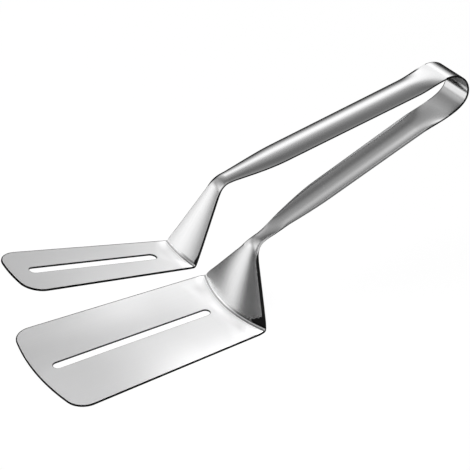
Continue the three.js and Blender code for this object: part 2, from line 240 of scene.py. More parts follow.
# %% The half strip
class HalfStrip(StripPlan):
    """The same half pressed into shape."""

    def arm_curvature(self, distance):
        waist_curvature = 8 * WAIST_CROWN / self.waist_width ** 2
        rise = smooth(distance / self.crown_rise_length)
        fade = smooth((self.arm_length - distance) / CROWN_FADE_LENGTH)
        return (waist_curvature * (1 - rise) + self.crown_side / ARM_CROWN_RADIUS * rise) * fade

    def crown_sink(self, distance):
        fade = smooth((self.arm_length - distance) / CROWN_FADE_LENGTH)
        crown = self.crown_side * self.arm_half(distance) ** 2 / (2 * ARM_CROWN_RADIUS)
        return self.crown_sink_share * crown * (1 - fade)

    def arm_point(self, distance, y):
        drop = self.arm_curvature(distance) * np.square(y) / 2 + self.crown_sink(distance)
        up = turn_left(self.arm_direction)
        return self.waist_centre + self.arm_direction * distance - np.outer(drop, up)

    def surface(self, station, v):
        v = np.atleast_1d(np.asarray(v, float))
        bulge = np.outer(self.crease_bulge * (1 - v ** 2), self.blade_direction)
        crease = self.crease + bulge
        waist = self.arm_point(0.0, v * self.waist_width / 2)
        half = self.half_width(station)

        def on_neck(at):
            return crease + (waist - crease) * (at / self.neck_length)

        if station <= -self.crease_tangent:
            place = crease - self.blade_direction * station
        elif station < self.crease_tangent:
            share = (station + self.crease_tangent) / (2 * self.crease_tangent)
            arriving = crease + self.blade_direction * self.crease_tangent
            place = rounded(crease, arriving, on_neck(self.crease_tangent), share)
        elif station <= self.waist - self.waist_tangent:
            place = on_neck(station)
        elif station < self.waist + self.waist_tangent:
            share = (station - self.waist + self.waist_tangent) / (2 * self.waist_tangent)
            leaving = self.arm_point(self.waist_tangent, v * half)
            place = rounded(waist, on_neck(self.waist - self.waist_tangent), leaving, share)
        else:
            place = self.arm_point(station - self.waist, v * half)
        return np.column_stack([place[:, 0], v * half, place[:, 1]])

    def frame_at(self, station, v):
        """Point, normal and sideways direction at each v of a station."""
        v = np.atleast_1d(np.asarray(v, float))
        step, side_step = 1e-3, 1e-4
        along = self.surface(station + step, v) - self.surface(station - step, v)
        across = self.surface(station, v + side_step) - self.surface(station, v - side_step)
        if station <= -self.crease_tangent:
            along = np.tile(-upright(self.blade_direction), (len(v), 1))
            across = np.tile([0.0, 1.0, 0.0], (len(v), 1))
        if station >= self.end:
            along = np.tile(upright(self.arm_direction), (len(v), 1))
        normal = unit(np.cross(along, across))
        return self.surface(station, v), normal, unit(np.cross(normal, along))


lower_strip, upper_strip = HalfStrip(LOWER), HalfStrip(UPPER)
print("lower strip", round(lower_strip.end, 1), "mm from crease to bow; upper strip",
      round(upper_strip.end, 1), "mm")

# %% [markdown]
# ## Across the sheet
#
# Blanked sheet never has knife-sharp edges: the press rolls them over by a fifth of a
# millimetre, and tumbling rounds the rest. That small round catches the light all along the
# silhouette. So each ring round the sheet has a flat cut edge, four little steps of rounding,
# and many points across the face.

# %% Section of the sheet
EDGE_ROUND = 0.22
ROUND_STEPS = 4
ACROSS = 120


def half_section():
    """Inset from the strip's edge, height over the middle and lean of the normal, inwards."""
    turn = np.linspace(0, math.pi / 2, ROUND_STEPS + 1)
    inset = EDGE_ROUND * (1 - np.cos(turn))
    height = SHEET / 2 - EDGE_ROUND + EDGE_ROUND * np.sin(turn)
    return inset, height, turn


def edge_to_edge(rounding):
    """A value of the rounded edge, carried flat across the face and back down the far edge."""
    flat = np.full(ACROSS + 1, rounding[-1])
    return np.concatenate([rounding[:-1], flat, rounding[:-1][::-1]])


def ring_v(half):
    """Where a ring's points lie across a strip of this half width, from -1 to 1."""
    edge = 1 - round_inset[:-1] / half
    flat = 1 - EDGE_ROUND / half
    return np.concatenate([-edge, np.linspace(-flat, flat, ACROSS + 1), edge[::-1]])


round_inset, round_height, round_turn = half_section()
ring_height, ring_lean = edge_to_edge(round_height), edge_to_edge(round_turn)
print("ring of", 2 * len(ring_height), "points")


# %% [markdown]
# Two things happen beside the edges of the necks and arms. The press draws the last millimetre
# or two towards the hollow side, which bends the reflection into a thin line. And a narrow rim
# beside the cut is painted as dark as the cut, painted shade that stands in for the dark
# reflections along the edges, and on the near side it widens where the neck pinches into the
# crease. Both are functions of the station, so they grow and fade with no step.

# %% Edge rolls and rims
ROLL_GROWTH_LENGTH = 10.0
ROLL_WIDTH, ROLL_DEPTH = 1.9, 0.2
NECK_ROLL_WIDTH, NECK_ROLL_DEPTH = 1.4, 0.45
RIM_START, RIM_FADE, WAIST_FADE, PAINTED_WEDGE_LENGTH = 0.9, 1.2, 10.0, 6.0
THINNEST_RIM = 0.01


def edge_roll(strip, station, v):
    """How far the edges are rolled towards the hollow side, and the slope of it."""
    grown = smooth((station - strip.crease_tangent) / ROLL_GROWTH_LENGTH)
    if station > strip.waist:
        crown = strip.arm_curvature(station - strip.waist) * ARM_CROWN_RADIUS
        grown = float(np.clip(crown, -1.0, 1.0))
    neck_share = 1 - smooth((station - strip.waist / 2) / strip.waist)
    width = ROLL_WIDTH + (NECK_ROLL_WIDTH - ROLL_WIDTH) * neck_share
    depth = ROLL_DEPTH + (NECK_ROLL_DEPTH - ROLL_DEPTH) * neck_share
    half = strip.half_width(station)
    inside = np.clip((np.abs(v) * half - (half - width)) / width, 0.0, None)
    return -grown * depth * inside ** 2, -grown * 2 * depth / width * inside * np.sign(v)


def rim_beside(from_edge, width):
    """1 on the outer half of a rim, falling to 0 over its inner half."""
    return 1 - np.clip((from_edge - width / 2) / np.maximum(width / 2, THINNEST_RIM), 0.0, 1.0)


def edge_shade(strip, station, v, lean):
    """Painted shade and dull steel of an edge: full on the sheared face, less on the rim beside
    it.
    """
    from_edge = strip.half_width(station) * (1 - np.abs(v))
    on_arm = smooth((station - strip.waist + WAIST_FADE) / WAIST_FADE)
    bow_near = smooth((station - strip.end + CROWN_FADE_LENGTH) / CROWN_FADE_LENGTH)
    rim_width = np.where(v < 0, strip.rim_near, strip.rim_far)
    arm_rim_width = np.where(v < 0, strip.arm_rim_near, strip.arm_rim_far)
    # on the near side the painted dark rim widens beside the crease: a painted dark reflection
    painted_wedge = np.where(v < 0, strip.pinch_width, 0.0)
    width = rim_width + (arm_rim_width - rim_width) * on_arm
    width = width + painted_wedge * (1 - smooth((station - RIM_START) / PAINTED_WEDGE_LENGTH))
    present = smooth((station - RIM_START) / RIM_FADE) * (1 - bow_near)
    share = 1 + (strip.arm_edge_share - 1) * on_arm * (1 - bow_near)
    return share * np.maximum(np.cos(lean), present * rim_beside(from_edge, width))


print("arm edges rolled", ROLL_DEPTH, "mm, neck edges", NECK_ROLL_DEPTH, "mm")


# %% [markdown]
# A ring is closed by walking over the top of the sheet and back below it. Each point also
# carries its grain: station, v and how dark its edge is. The finishes read it, because unlike a
# position in space it follows every bend.

# %% Closed rings
def close_ring(point, normal, outward, station, v, shade, inner_shade=0.0):
    """Points, normals and grain of a ring; inner_shade is the least painted shade of its upper
    side.
    """
    lean = ring_lean[:, None]
    top = point + normal * ring_height[:, None]
    under = point - normal * ring_height[:, None]
    top_normal = normal * np.sin(lean) + outward * np.cos(lean)
    under_normal = -normal * np.sin(lean) + outward * np.cos(lean)
    top_grain = np.column_stack([np.full_like(v, station), v, np.maximum(shade, inner_shade)])
    under_grain = np.column_stack([np.full_like(v, station), v, shade])
    return (np.vstack([top, under[::-1]]), np.vstack([top_normal, under_normal[::-1]]),
            np.vstack([top_grain, under_grain[::-1]]))


def ring_of(strip, station):
    """The closed ring of a half strip at one station, with its edges rolled."""
    v = ring_v(strip.half_width(station))
    point, normal, side = strip.frame_at(station, v)
    lift, slope = edge_roll(strip, station, v)
    point = point + normal * lift[:, None]
    outward = unit(side + normal * slope[:, None]) * np.sign(v)[:, None]
    normal = unit(normal - side * slope[:, None])
    return close_ring(point, normal, outward, station, v, edge_shade(strip, station, v, ring_lean))


# %% [markdown]
# ## From rings to a piece
#
# A neck, an arm or the bow is a row of such rings joined by quads and closed at both ends. The
# normals are worked out from the surface itself and stored on the mesh, so two pieces that meet
# shade as one strip, with no line between them. Letting Blender average the faces would bend the
# light at every seam.

# %% Piece builder
shift_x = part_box("lower_blade")[0][0] / MM + LOWER["blade_length"]
print("the frame's origin lies", round(-shift_x, 3), "mm behind the crease line")


def make_piece(name, points, normals, grain, faces, cap_faces, body, node, slot, finish):
    """Mesh object in metres with its own normals; cap faces keep their flat normals."""
    mesh = bpy.data.meshes.new(name)
    placed = (np.asarray(points) + [shift_x, 0, 0]) * MM
    mesh.from_pydata(placed.tolist(), [], [list(map(int, face)) for face in faces + cap_faces])
    mesh.validate()
    mesh.polygons.foreach_set("use_smooth", [True] * len(mesh.polygons))
    mesh.update()
    corner_normals = np.asarray(normals)[[loop.vertex_index for loop in mesh.loops]]
    for polygon in list(mesh.polygons)[len(faces):]:
        for loop in polygon.loop_indices:
            corner_normals[loop] = polygon.normal
    mesh.normals_split_custom_set(corner_normals.tolist())
    attribute = mesh.attributes.new("grain", "FLOAT_VECTOR", "POINT")
    attribute.data.foreach_set("vector", np.asarray(grain, np.float32).ravel())
    piece = bpy.data.objects.new(name, mesh)
    bpy.context.scene.collection.objects.link(piece)
    mesh.materials.append(finish)
    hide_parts(node)
    if body:
        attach(piece, body)
    print(name, len(mesh.vertices), "points", len(mesh.polygons), "faces")
    return piece


def strip_mesh(rings):
    """Rows of rings as points, normals, grain, skin faces and end faces."""
    size = len(rings[0][0])
    points = np.vstack([ring[0] for ring in rings])
    normals = np.vstack([ring[1] for ring in rings])
    grain = np.vstack([ring[2] for ring in rings])
    faces = []
    for row in range(len(rings) - 1):
        for i in range(size):
            j = (i + 1) % size
            faces.append((row * size + i, (row + 1) * size + i,
                          (row + 1) * size + j, row * size + j))
    last = (len(rings) - 1) * size
    caps = []
    for i in range(size // 2 - 1):
        k = size - 1 - i
        caps.append((i, i + 1, k - 1, k))
        caps.append((last + i, last + k, last + k - 1, last + i + 1))
    return points, normals, grain, faces, caps


# %% [markdown]
# ## Shader sums
#
# Procedural finishes are sums: a mask times a colour, one minus a mask, noise times a depth.
# Wrapping a socket in a small class lets Python's own operators add the Math nodes, so a finish
# reads like a formula. Every other node comes from one method.

# %% Wires and boards
class Wire:
    """One number travelling through a node tree."""

    def __init__(self, board, socket):
        self.board, self.socket = board, socket

    def sum_of(self, operation, first, second):
        return self.board.node("ShaderNodeMath", {"operation": operation}, {0: first, 1: second})

    def __add__(self, other):
        return self.sum_of("ADD", self, other)

    def __sub__(self, other):
        return self.sum_of("SUBTRACT", self, other)

    def __rsub__(self, other):
        return self.sum_of("SUBTRACT", other, self)

    def __mul__(self, other):
        return self.sum_of("MULTIPLY", self, other)

    __radd__, __rmul__ = __add__, __mul__

    def limited(self):
        return self.board.node("ShaderNodeClamp", {}, {"Value": self})


class Board:
    """The node tree of a material or of the world."""

    def __init__(self, owner):
        owner.use_nodes = True
        self.tree = owner.node_tree
        self.tree.nodes.clear()

    def node(self, kind, settings, values, output=0):
        """Any node: its settings, then wires or constants for its sockets."""
        made = self.tree.nodes.new(kind)
        for key, value in settings.items():
            setattr(made, key, value)
        for key, value in values.items():
            if isinstance(value, Wire):
                self.tree.links.new(value.socket, made.inputs[key])
            else:
                made.inputs[key].default_value = value
        return Wire(self, made.outputs[output]) if made.outputs else made

    def ray(self, kind):
        """1 where this kind of ray looks, else 0."""
        return self.node("ShaderNodeLightPath", {}, {}, f"Is {kind} Ray")

    def glow(self, tone, strength):
        return self.node("ShaderNodeEmission", {},
                         {"Color": (tone, tone, tone, 1), "Strength": strength})


def ramp(board, value, low, high, start=0.0, stop=1.0):
    """Start below one value, stop above another, and a soft change between them."""
    return board.node("ShaderNodeMapRange", {"interpolation_type": "SMOOTHSTEP"},
                      {"Value": value, "From Min": low, "From Max": high,
                       "To Min": start, "To Max": stop})


def part_of(board, vector, letter):
    return board.node("ShaderNodeSeparateXYZ", {}, {"Vector": vector}, letter)


def noise(board, place, scale=1.0, detail=2.0, roughness=0.6):
    return board.node("ShaderNodeTexNoise", {"noise_dimensions": "3D"},
                      {"Vector": place, "Scale": scale, "Detail": detail, "Roughness": roughness})


def stretched(board, place, scale):
    return board.node("ShaderNodeVectorMath", {"operation": "MULTIPLY"}, {0: place, 1: scale})


# %% [markdown]
# ## Steel finishes
#
# The blades are satin: a fine belt leaves thousands of hair lines along the strip, too thin to
# see one by one, so the face looks soft grey. The necks and arms are buffed brighter and mirror
# the room. The cut edge and the rim beside it are drawn rougher and near black, partly the duller
# sheared steel and partly painted shade for the dark reflections along the edges. One function
# builds all three from the same steel, so they stay one metal, and only tone, roughness, the
# share of mirror and the depth of the hair lines differ.

# %% Steel
# the sheared edge, its rim and the bow's roof take this tone: partly duller steel, partly painted
# shade
CUT_AND_PAINTED_SHADE_TONE, CUT_ROUGHNESS = 0.02, 0.45
CUT_STARTS, CUT_FULL = 0.05, 0.35
STREAK_STRETCH = (0.02, 34.0, 0.0)
HAIR_STRETCH = (60.0, 5200.0, 5200.0)
CLOUD_SCALE = 38.0
NOISE_MIDDLE = 0.5
HAIR_SHARE = 0.5
HAIR_ROUGHENS = 0.06
COOL_TINT = 1.004
HAIR_DEPTH = 0.00002


def steel(name, tone, roughness, metal, streaks, cloud, beside_crease=None):
    """Tone and roughness of the face, its share of metal, and how deep streaks and clouds go."""
    material = bpy.data.materials.new(name)
    board = Board(material)
    place = board.node("ShaderNodeTexCoord", {}, {}, "Object")
    grain = board.node("ShaderNodeAttribute", {"attribute_name": "grain"}, {}, "Vector")
    streak = noise(board, stretched(board, grain, STREAK_STRETCH), detail=3.0) - NOISE_MIDDLE
    hair = noise(board, stretched(board, place, HAIR_STRETCH))
    hair_sway = hair - NOISE_MIDDLE
    drift = noise(board, place, scale=CLOUD_SCALE, roughness=0.5) - NOISE_MIDDLE
    # this mask carries the sheared edge together with the painted dark rims and the painted roof
    # shade
    cut_and_painted_shade = ramp(board, part_of(board, grain, "Z"), CUT_STARTS, CUT_FULL)
    wear = streak * streaks + hair_sway * (streaks * HAIR_SHARE) + drift * cloud
    shade = (1 + wear) * tone * (1 - cut_and_painted_shade) + cut_and_painted_shade * CUT_AND_PAINTED_SHADE_TONE
    colour = board.node("ShaderNodeCombineColor", {}, {0: shade, 1: shade, 2: shade * COOL_TINT})
    # beside the crease the colour is scaled by painted light on the blades and by painted shade on
    # the necks
    if beside_crease is not None:
        metal, painted_brightness = beside_crease(board, grain, metal)
        colour = board.node("ShaderNodeVectorMath", {"operation": "SCALE"},
                            {0: colour, "Scale": painted_brightness})
    rough = (roughness + hair_sway * HAIR_ROUGHENS + drift * cloud) * (1 - cut_and_painted_shade)
    bump = board.node("ShaderNodeBump", {},
                      {"Strength": streaks, "Distance": HAIR_DEPTH, "Height": hair}, "Normal")
    shader = board.node("ShaderNodeBsdfPrincipled", {}, {
        "Base Color": colour, "Metallic": metal * (1 - cut_and_painted_shade) + cut_and_painted_shade,
        "Roughness": (rough + cut_and_painted_shade * CUT_ROUGHNESS).limited(), "Normal": bump})
    board.node("ShaderNodeOutputMaterial", {}, {"Surface": shader})
    print("finish", name, "roughness", roughness)
    return material


# %% [markdown]
# The crease is where two finishes meet. The satin blade is painted brighter over its last
# centimetres, painted light that stands in for the light the neck keeps from it. The fillet
# itself is still satin and ends in a fine dark line, a painted shade along the crease, and only
# then does the neck's polish begin. On the near side of the neck a tight corner beside the
# crease is painted dark, a painted dark reflection. Painting these from the grain keeps them
# parallel to a crease that is curved in plan.

# %% Finishes
# painted light on the blades: from and to, millimetres behind the crease, and how much brighter
# the blade is painted
CREASE_PAINTED_LIGHT = [(-38.0, -14.0, 1.12), (-9.0, -2.5, 1.45)]
# millimetres along the strip, or shares across it for the corner's width
POLISH_STARTS, POLISH_FULL, FILLET_METAL = 0.5, 1.3, 0.3
# a painted shade line along the crease: where it rises, where it falls and how dark it is
CREASE_SHADE_RISE, CREASE_SHADE_FALL, CREASE_SHADE_DEPTH = (-1.5, -1.1), (-0.1, 0.5), 0.62
# a painted dark reflection in the near corner of the neck beside the crease
PAINTED_CORNER_ACROSS, PAINTED_CORNER_ALONG, PAINTED_CORNER_DEPTH = (-0.45, 0.05), (1.5, 2.6), 0.6


def blade_by_crease(board, grain, metal):
    """Unchanged share of metal, and painted light by the distance behind the curved crease."""
    across = part_of(board, grain, "Y")
    bulge = board.node("ShaderNodeAttribute", {"attribute_name": "bulge"}, {}, "Fac")
    behind = part_of(board, grain, "X") + bulge * (1 - across * across)
    painted_brightness = 1.0
    for low, high, brighter in CREASE_PAINTED_LIGHT:
        painted_brightness = ramp(board, behind, low, high, 1.0, brighter) * painted_brightness
    return metal, painted_brightness


def neck_by_crease(board, grain, metal):
    """Share of metal beside the crease, and painted shade: a dark line along it and a dark corner.
    """
    along, across = part_of(board, grain, "X"), part_of(board, grain, "Y")
    polish = ramp(board, along, POLISH_STARTS, POLISH_FULL, FILLET_METAL, metal)
    # a painted shade line along the crease
    painted_crease_shade = ramp(board, along, *CREASE_SHADE_RISE) * ramp(board, along, *CREASE_SHADE_FALL, 1.0, 0.0)
    # painted dark reflection in the near corner beside the crease
    corner = (ramp(board, across, *PAINTED_CORNER_ACROSS, 1.0, 0.0)
              * ramp(board, along, *PAINTED_CORNER_ALONG, 1.0, 0.0))
    return polish, (1.0 - painted_crease_shade * CREASE_SHADE_DEPTH) * (1.0 - corner * PAINTED_CORNER_DEPTH)


satin_blade = steel("satin_blade_steel", tone=0.62, roughness=0.50, metal=0.20,
                    streaks=0.05, cloud=0.04, beside_crease=blade_by_crease)
bright_neck = steel("bright_neck_steel", tone=0.86, roughness=0.22, metal=1.0,
                    streaks=0.20, cloud=0.04, beside_crease=neck_by_crease)
buffed_arm = steel("buffed_arm_steel", tone=0.86, roughness=0.20, metal=1.0,
                   streaks=0.10, cloud=0.04)

# %% [markdown]
# ## Necks and arms
#
# The neck is where a flat blade becomes a narrow handle. Its edges run straight from the ends of
# the crease to the waist, so the sheet between them is part of a cone. Rings are set close
# together in the crease and at the waist, where the sheet bends, and further apart where it runs
# straight.

# %% Neck and arm rings
CREASE_STEPS, NECK_STEPS, WAIST_STEPS = 14, 26, 28
WIDENING_STEPS, ARM_STEPS, ARM_END_STEPS = 60, 30, 30


def spread(start, stop, count):
    """Equal steps from start, which is left out, to stop."""
    return list(np.linspace(start, stop, count + 1)[1:])


def neck_rings(strip):
    crease, bend = strip.crease_tangent, strip.waist - strip.waist_tangent
    stations = [-crease] + spread(-crease, crease, CREASE_STEPS)
    stations += spread(crease, bend, NECK_STEPS)
    stations += spread(bend, strip.waist + strip.waist_tangent, WAIST_STEPS)
    return [ring_of(strip, station) for station in stations]


def arm_rings(strip):
    bend = strip.waist + strip.waist_tangent
    widened = strip.waist + strip.widen_length
    fade = strip.end - CROWN_FADE_LENGTH
    stations = [bend] + spread(bend, widened, WIDENING_STEPS)
    stations += spread(widened, fade, ARM_STEPS) + spread(fade, strip.end, ARM_END_STEPS)
    return [ring_of(strip, station) for station in stations]


for strip, half_name in ((lower_strip, "lower"), (upper_strip, "upper")):
    for part, rings, slot, finish in (("neck", neck_rings, "neck_polish", bright_neck),
                                      ("arm", arm_rings, "handle_polish", buffed_arm)):
        node = f"{half_name}_{part}"
        make_piece(f"{node}_skin", *strip_mesh(rings(strip)), f"{half_name}_half", node, slot,
                   finish)


# %% [markdown]
# ## The bow
#
# The bow is the spring. When the arms are squeezed it opens or closes a little over its whole
# length, so its skin can't ride on one arm: it blends from the lower half at one end to the upper
# half at the other. Two curves, tangent to the arms, draw its side view. The inside of its roof is
# painted dark, painted shade for the little light that reaches it, and thin painted dark rims run
# along its edges.

# %% Bow ring
BOW_STEPS = 48
BOW_RIM_WIDTH = 0.7
# painted shade on the inside of the bow's roof
INNER_ROOF_SHADE = 0.25
ROOF_STARTS, ROOF_ENDS = 0.15, 0.3


def bezier(a, b, c, d, t):
    point = (1 - t) ** 3 * a + 3 * (1 - t) ** 2 * t * b + 3 * (1 - t) * t ** 2 * c + t ** 3 * d
    slope = 3 * (1 - t) ** 2 * (b - a) + 6 * (1 - t) * t * (c - b) + 3 * t ** 2 * (d - c)
    return point, slope / np.linalg.norm(slope)


def roof_share(t):
    """How much painted shade the inside of the roof gets, along the bow's upper curve."""
    return smooth(t / ROOF_STARTS) * smooth((1 - t) / ROOF_ENDS)


def bow_ring(point, tangent, station, roof):
    half = BOW_WIDTH / 2
    v = ring_v(half)
    y = v * half
    points = upright(point) + np.outer(y, [0, 1, 0])
    normal = np.tile(upright(turn_left(tangent)), (len(y), 1))
    outward = np.outer(np.sign(y), [0, 1, 0])
    # the rims beside the bow's edges are painted dark: painted shade
    shade = np.maximum(np.cos(ring_lean), rim_beside(half - np.abs(y), BOW_RIM_WIDTH))
    return close_ring(points, normal, outward, station, v, shade, INNER_ROOF_SHADE * roof)


# %% Bow
def bow_rings():
    pull = BOW_PULL_SHARES
    up = np.array([0.0, 1.0])
    begin = lower_strip.arm_point(LOWER["arm_length"], 0.0)[0]
    finish = upper_strip.arm_point(UPPER["arm_length"], 0.0)[0]
    bottom_span = np.linalg.norm(bow_apex - begin)
    top_span = np.linalg.norm(bow_apex - finish)
    bottom = (begin, begin + lower_arm_direction * pull["bottom_arm"] * bottom_span,
              bow_apex - up * pull["bottom_apex"] * bottom_span, bow_apex)
    top = (bow_apex, bow_apex + up * pull["top_apex"] * top_span,
           finish + upper_arm_direction * pull["top_arm"] * top_span, finish)
    shares = np.linspace(0, 1, BOW_STEPS + 1)
    rings = [bow_ring(*bezier(*bottom, t), lower_strip.end + t * bottom_span, 0.0)
             for t in shares]
    rings += [bow_ring(*bezier(*top, t), upper_strip.end + (1 - t) * top_span, roof_share(t))
              for t in shares[1:]]
    return rings


bow = make_piece("spring_bow_skin", *strip_mesh(bow_rings()), None, "spring_bow",
                 "handle_polish", buffed_arm)
bend_low = (0.0, 0.0, (lower_arm_end[1] + SHEET) * MM)
bend_high = (0.0, 0.0, (upper_arm_end[1] - SHEET) * MM)
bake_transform(bow)
print("bow bends between", round(bend_low[2], 4), "and", round(bend_high[2], 4), "m")


# %% [markdown]
# ## Outline of the blades
#
# A blade is flat, so its outline does the work: straight tapering sides, round corners, a front
# edge that bows out a little, and one long round-ended slot. A blanking die has straight lines
# and arcs that touch without a kink, and plane geometry keeps them exact.

# %% Blade outline
SHOULDER_STEPS, STRAIGHT_STEPS = 12, 29
CORNER_STEPS, FRONT_STEPS, SLOT_END_STEPS = 20, 24, 24


def arc(centre, radius, start, stop, count):
    angle = np.linspace(start, stop, count + 1)
    out = np.column_stack([np.cos(angle), np.sin(angle)])
    return centre + radius * out, out


def straight(first, last):
    """The points between two ends, without the ends."""
    return first + (last - first) * np.linspace(0, 1, STRAIGHT_STEPS + 1)[1:-1, None]


def corner_centre(strip, front_centre, front_radius):
    """Where the corner's circle touches both the straight side and the bowed front."""
    slope = strip.blade_slope
    inset = strip.crease_half - strip.corner_radius * math.hypot(1, slope)
    reach = front_radius - strip.corner_radius
    square = 1 + slope ** 2
    linear = slope * inset - front_centre
    rest = front_centre ** 2 + inset ** 2 - reach ** 2
    ahead = (-linear + math.sqrt(linear ** 2 - square * rest)) / square
    return np.array([ahead, inset + slope * ahead])


def blade_side(strip):
    """Points and outward directions of the side y > 0, from the crease to the front's middle."""
    front_half = strip.front_width / 2
    front_radius = (front_half ** 2 + strip.front_bow ** 2) / (2 * strip.front_bow)
    front_centre = strip.blade_length - front_radius
    centre = corner_centre(strip, front_centre, front_radius)
    side_angle = math.atan2(1, -strip.blade_slope)
    front_angle = math.atan2(centre[1], centre[0] - front_centre)
    distance = np.linspace(strip.crease_tangent, SHOULDER_LENGTH, SHOULDER_STEPS + 1)
    width = np.array([strip.half_width(-d) for d in distance])
    shoulder = np.column_stack([distance, width])
    shoulder_out = unit(np.column_stack([-np.gradient(width, distance), np.ones_like(width)]))
    corner, corner_out = arc(centre, strip.corner_radius, side_angle, front_angle, CORNER_STEPS)
    line = straight(shoulder[-1], corner[0])
    line_out = np.tile(corner_out[0], (len(line), 1))
    front, front_out = arc(np.array([front_centre, 0.0]), front_radius, front_angle, 0.0,
                           FRONT_STEPS)
    return (np.vstack([shoulder, line, corner, front[1:]]),
            np.vstack([shoulder_out, line_out, corner_out, front_out[1:]]))


def slot_loop(strip):
    """Points of the slot and their directions into the steel."""
    radius, quarter = SLOT_WIDTH / 2, math.pi / 2
    rear = strip.slot_setback + radius
    front = strip.blade_length - strip.slot_tip_margin - radius
    ahead, ahead_out = arc(np.array([front, 0.0]), radius, -quarter, quarter, SLOT_END_STEPS)
    behind, behind_out = arc(np.array([rear, 0.0]), radius, quarter, 3 * quarter, SLOT_END_STEPS)
    top, bottom = straight(ahead[-1], behind[0]), straight(behind[-1], ahead[0])
    points = np.vstack([ahead, top, behind, bottom])
    out = np.vstack([ahead_out, np.tile([0.0, 1.0], (len(top), 1)),
                     behind_out, np.tile([0.0, -1.0], (len(bottom), 1))])
    return points, out


print("lower outline", 2 * len(blade_side(lower_strip)[0]) - 1, "points, slot",
      len(slot_loop(lower_strip)[0]))


# %% [markdown]
# ## Faces of the blades
#
# The outline and the slot get the same rounded cut edge as the rest of the strip, in loops of
# points that step over it, and two more loops hold the narrow rim beside the cut. What is left
# is flat, and a triangulation that keeps the given edges fills it without adding a point.

# %% Plate filling
INSIDE_ONLY, NEAR = 1, 1e-9


def band(first, second, closed=False, flip=False):
    """Quads between two loops with the same number of points."""
    quads = []
    for i in range(len(first) if closed else len(first) - 1):
        j = (i + 1) % len(first)
        quad = (first[i], first[j], second[j], second[i])
        quads.append(quad[::-1] if flip else quad)
    return quads


def fill_plate(points, rim, hole, origin, ahead, up_side):
    """Triangles between an outer rim and a hole, worked out in the plate's own plane."""
    ids = rim + hole
    flat = [Vector((float((points[i] - origin) @ ahead), float(points[i][1]))) for i in ids]
    edges = [(i, (i + 1) % len(rim)) for i in range(len(rim))]
    edges += [(len(rim) + i, len(rim) + (i + 1) % len(hole)) for i in range(len(hole))]
    verts, _, triangles, originals, _, _ = delaunay_2d_cdt(flat, edges, [], INSIDE_ONLY, NEAR)
    assert len(verts) == len(ids), (len(verts), len(ids))
    found = []
    for triangle in triangles:
        source = [originals[i][0] for i in triangle]
        if min(source) >= len(rim):  # a triangle of the slot's opening
            continue
        corner = [ids[i] for i in source]
        a, b, c = (verts[i] for i in triangle)
        clockwise_from_above = (b - a).cross(c - a) > 0
        found.append(tuple(corner[::-1]) if clockwise_from_above == up_side else tuple(corner))
    return found


# %% [markdown]
# The rear of a blade follows the curved crease point by point, where the neck's first ring lies,
# so the two skins share that line exactly. The painted dark share of the edge fades as the edge
# turns forward, so the front edges are drawn lighter than the sides. The outline is pulled in by
# a hair so that the skin stays inside the solid's box.

# %% Blade mesh
SKIN_INSET = 0.02
# the rim beside the blade's cut is painted dark: painted shade
BLADE_RIM_WIDTH, BLADE_RIM_SHADE = 0.4, 0.24
# inset, height, lean of the normal and share of the cut's tone of each loop, from the cut inwards
EDGE_LOOPS = [(inset, height, turn, math.cos(turn))
              for inset, height, turn in list(zip(round_inset, round_height, round_turn))[:-1]]
EDGE_LOOPS += [(EDGE_ROUND, SHEET / 2, math.pi / 2, BLADE_RIM_SHADE),
               (EDGE_ROUND + BLADE_RIM_WIDTH, SHEET / 2, math.pi / 2, 0.0)]


